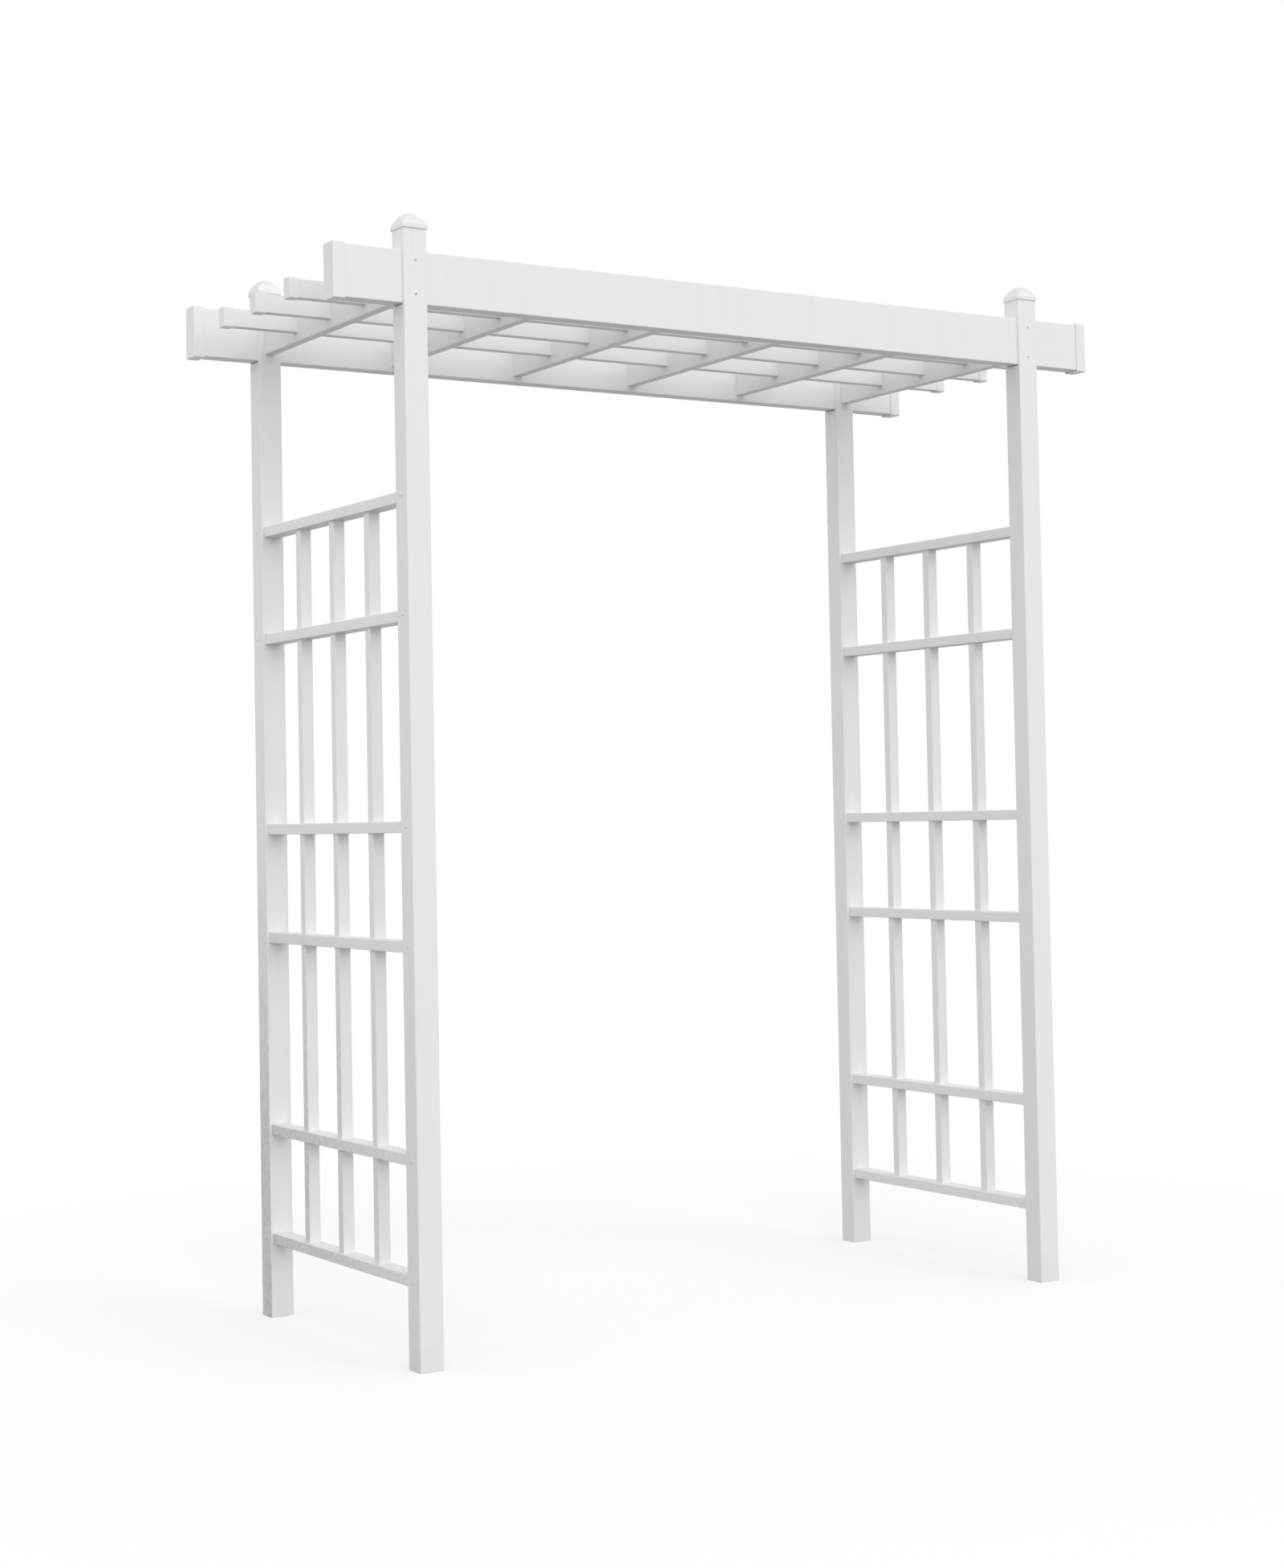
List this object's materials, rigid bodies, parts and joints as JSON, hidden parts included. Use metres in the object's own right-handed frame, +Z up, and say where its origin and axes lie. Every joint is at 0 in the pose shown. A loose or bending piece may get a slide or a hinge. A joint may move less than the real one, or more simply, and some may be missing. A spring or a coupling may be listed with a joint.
{
  "type": "garden arch",
  "caption": "Free-standing walk-through garden arch of hollow white vinyl sections, with trellis sides, a slatted open roof and domed post caps.",
  "frame": {"origin": "on the ground in the middle of the four post feet", "axes": "+Z up, X along the beams across the walkway, Y from the front beam to the rear beam"},
  "size_m": [1.8896, 0.7696, 2.2428],
  "materials": {
    "vinyl_section": "white extruded vinyl with a soft satin gloss and very light weathering",
    "vinyl_moulding": "white moulded vinyl caps, a little smoother than the sections",
    "screw_enamel": "white enamelled round-head screws with a dull cross recess"
  },
  "bodies": {
    "root": {"post_left_front": "vinyl_section", "post_right_front": "vinyl_section", "post_left_rear": "vinyl_section", "post_right_rear": "vinyl_section", "post_cap_left_front": "vinyl_moulding", "post_cap_right_front": "vinyl_moulding", "post_cap_left_rear": "vinyl_moulding", "post_cap_right_rear": "vinyl_moulding", "beam_front": "vinyl_section", "beam_rear": "vinyl_section", "beam_cap_front_left": "vinyl_moulding", "beam_cap_front_right": "vinyl_moulding", "beam_cap_rear_left": "vinyl_moulding", "beam_cap_rear_right": "vinyl_moulding", "joist_1": "vinyl_section", "joist_2": "vinyl_section", "joist_3": "vinyl_section", "joist_4": "vinyl_section", "joist_5": "vinyl_section", "joist_6": "vinyl_section", "slat_1": "vinyl_section", "slat_2": "vinyl_section", "slat_3": "vinyl_section", "slat_cap_1_left": "vinyl_moulding", "slat_cap_1_right": "vinyl_moulding", "slat_cap_2_left": "vinyl_moulding", "slat_cap_2_right": "vinyl_moulding", "slat_cap_3_left": "vinyl_moulding", "slat_cap_3_right": "vinyl_moulding", "rail_left_1": "vinyl_section", "rail_left_2": "vinyl_section", "rail_left_3": "vinyl_section", "rail_left_4": "vinyl_section", "rail_left_5": "vinyl_section", "rail_left_6": "vinyl_section", "rail_right_1": "vinyl_section", "rail_right_2": "vinyl_section", "rail_right_3": "vinyl_section", "rail_right_4": "vinyl_section", "rail_right_5": "vinyl_section", "rail_right_6": "vinyl_section", "baluster_left_1": "vinyl_section", "baluster_left_2": "vinyl_section", "baluster_left_3": "vinyl_section", "baluster_right_1": "vinyl_section", "baluster_right_2": "vinyl_section", "baluster_right_3": "vinyl_section", "rail_screws_left": "screw_enamel", "rail_screws_right": "screw_enamel", "beam_screws_front": "screw_enamel", "beam_screws_rear": "screw_enamel"}
  },
  "joints": []
}
